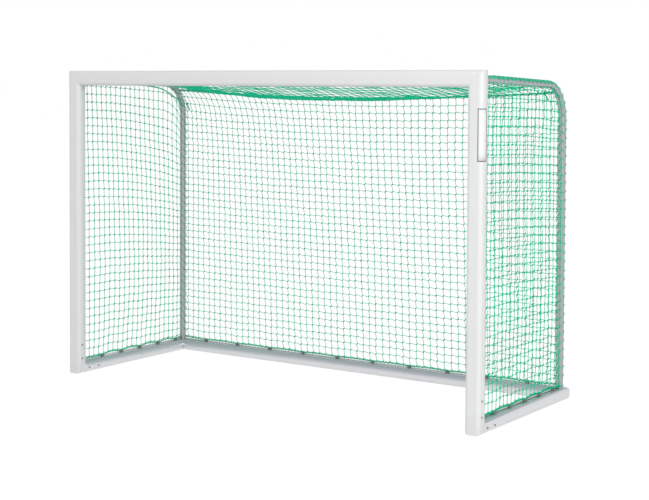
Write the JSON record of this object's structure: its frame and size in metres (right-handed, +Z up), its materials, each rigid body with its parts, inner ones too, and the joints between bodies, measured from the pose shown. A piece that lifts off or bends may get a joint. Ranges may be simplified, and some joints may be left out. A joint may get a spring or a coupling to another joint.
{
  "type": "sports goal",
  "caption": "Free-standing football goal: white front frame of rounded profile, bare ground frame, bent net bows from the top corners to the rear corners, and a laced green net.",
  "frame": {"origin": "on the ground, under the middle of the goal's outer box", "axes": "+X to the right seen from the pitch, +Y into the goal, +Z up"},
  "size_m": [2.5646, 1, 1.68],
  "materials": {
    "white_powder_coat": "satin white powder coat",
    "brushed_aluminium": "bare extruded aluminium",
    "cast_aluminium": "raw casting, hidden inside",
    "zinc_plated_steel": "zinc plated",
    "dark_plastic": "matt moulded",
    "green_twine": "knotted twine"
  },
  "bodies": {
    "root": {"crossbar": "white_powder_coat", "left_post": "white_powder_coat", "right_post": "white_powder_coat", "left_ground_rail": "brushed_aluminium", "right_ground_rail": "brushed_aluminium", "rear_ground_rail": "brushed_aluminium", "left_net_bow": "brushed_aluminium", "left_corner_elbow": "cast_aluminium", "left_bow_top_spigot": "cast_aluminium", "left_bow_foot_spigot": "cast_aluminium", "left_outer_screw_1": "zinc_plated_steel", "left_outer_screw_2": "zinc_plated_steel", "left_outer_screw_3": "zinc_plated_steel", "left_outer_screw_4": "zinc_plated_steel", "left_inner_screw_1": "zinc_plated_steel", "left_inner_screw_2": "zinc_plated_steel", "left_inner_screw_3": "zinc_plated_steel", "left_inner_screw_4": "zinc_plated_steel", "left_net_hook_1": "dark_plastic", "left_net_hook_2": "dark_plastic", "left_net_hook_3": "dark_plastic", "left_net_hook_4": "dark_plastic", "left_net_hook_5": "dark_plastic", "right_net_bow": "brushed_aluminium", "right_corner_elbow": "cast_aluminium", "right_bow_top_spigot": "cast_aluminium", "right_bow_foot_spigot": "cast_aluminium", "right_outer_screw_1": "zinc_plated_steel", "right_outer_screw_2": "zinc_plated_steel", "right_outer_screw_3": "zinc_plated_steel", "right_outer_screw_4": "zinc_plated_steel", "right_inner_screw_1": "zinc_plated_steel", "right_inner_screw_2": "zinc_plated_steel", "right_inner_screw_3": "zinc_plated_steel", "right_inner_screw_4": "zinc_plated_steel", "right_net_hook_1": "dark_plastic", "right_net_hook_2": "dark_plastic", "right_net_hook_3": "dark_plastic", "right_net_hook_4": "dark_plastic", "right_net_hook_5": "dark_plastic", "rear_net_hook_1": "dark_plastic", "rear_net_hook_2": "dark_plastic", "rear_net_hook_3": "dark_plastic", "rear_net_hook_4": "dark_plastic", "rear_net_hook_5": "dark_plastic", "rear_net_hook_6": "dark_plastic", "rear_net_hook_7": "dark_plastic", "rear_net_hook_8": "dark_plastic", "rear_net_hook_9": "dark_plastic", "rear_net_hook_10": "dark_plastic", "ground_rope": "green_twine", "front_rope": "green_twine", "rear_rope": "green_twine", "left_seam_rope": "green_twine", "right_seam_rope": "green_twine", "roof_net": "green_twine", "back_net": "green_twine", "left_side_net": "green_twine", "right_side_net": "green_twine"}
  },
  "joints": []
}
